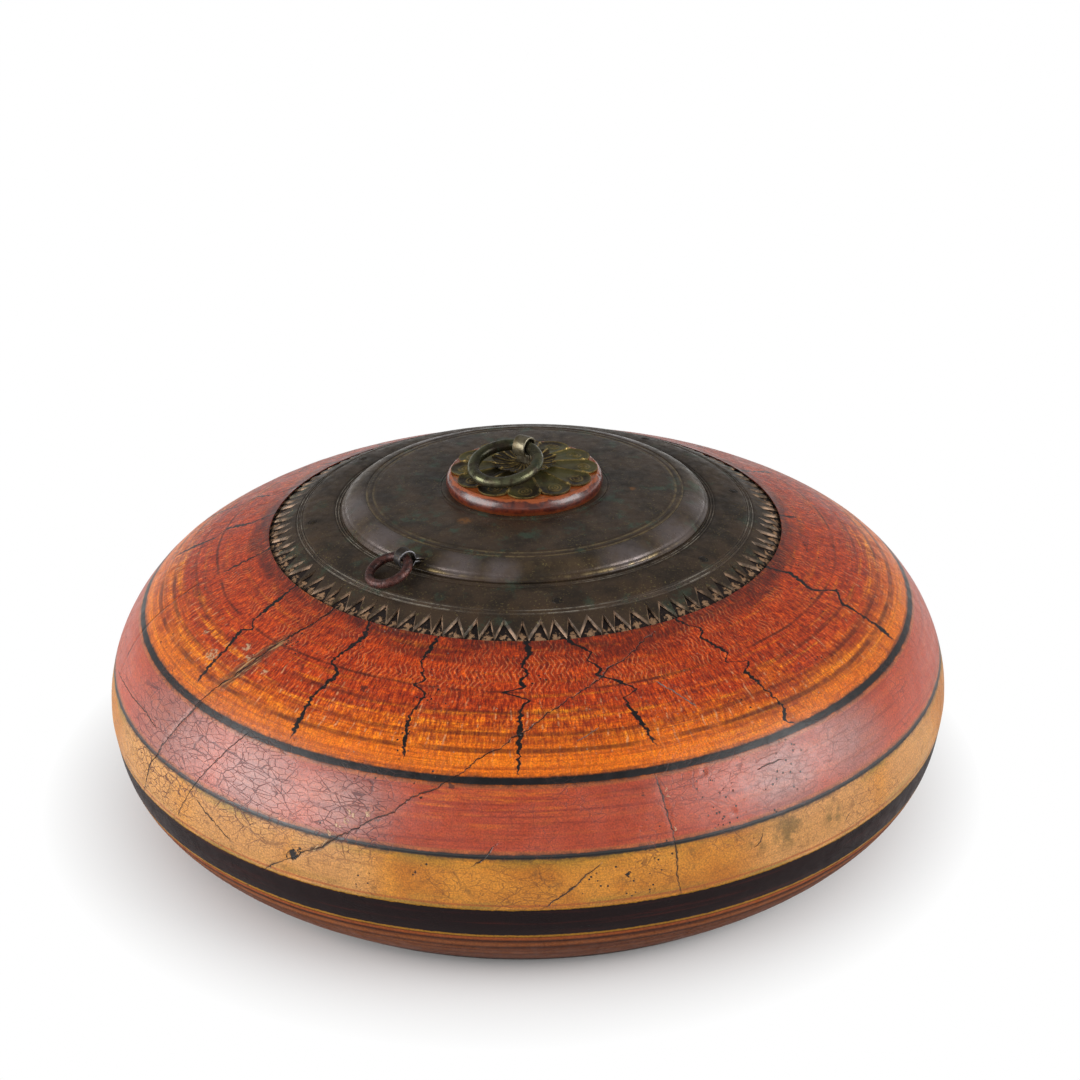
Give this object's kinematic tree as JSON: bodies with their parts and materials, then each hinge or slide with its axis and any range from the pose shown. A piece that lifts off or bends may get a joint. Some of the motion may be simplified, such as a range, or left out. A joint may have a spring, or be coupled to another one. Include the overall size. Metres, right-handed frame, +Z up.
{
  "type": "lacquered tobacco box",
  "caption": "Squat round turned wooden box with lacquer bands, a toothed bronze collar round its mouth, and a lift-off bronze lid with a swinging ring on a rosette boss.",
  "frame": {"origin": "middle of the flat base, on the surface that the box stands on", "axes": "+Z up the turning axis; the picture looks along +Y from the front"},
  "size_m": [0.3799, 0.38, 0.1685],
  "materials": {
    "lacquered_wood": "gloss lac in turned bands, cracked with age",
    "lacquered_boss": "gloss lac, worn at the edge",
    "dark_bronze": "dark brown patina, lathe-turned",
    "green_brass": "greenish patina with bright ribs",
    "green_bronze": "green-black patina, worn smooth",
    "rusty_iron": "red-brown rust, rubbed smooth",
    "nail_iron": "dark, flush filed"
  },
  "bodies": {
    "box": {"wooden_body": "lacquered_wood", "toothed_collar": "dark_bronze", "collar_nails": "nail_iron"},
    "lid": {"lid_plate": "dark_bronze", "lid_flange": "dark_bronze", "handle_boss": "lacquered_boss", "outer_rosette": "green_brass", "inner_rosette": "green_brass", "handle_staple": "green_brass", "side_staple": "rusty_iron"},
    "middle_ring": {"handle_ring": "green_bronze"},
    "edge_ring": {"side_ring": "rusty_iron"}
  },
  "joints": [
    {"name": "lid_lift", "type": "slide", "parent": "box", "child": "lid", "axis": [0, 0, 1], "range_m": [0, 0.1]},
    {"name": "handle_ring_swing", "type": "hinge", "parent": "lid", "child": "middle_ring", "pos_m": [0, 0, 0.1638], "axis": [-0.8131, 0.5821, 0], "range_deg": [0, 207]},
    {"name": "side_ring_swing", "type": "hinge", "parent": "lid", "child": "edge_ring", "pos_m": [-0.0505, -0.068, 0.1422], "axis": [-0.5446, 0.8387, 0], "range_deg": [0, 176]}
  ]
}
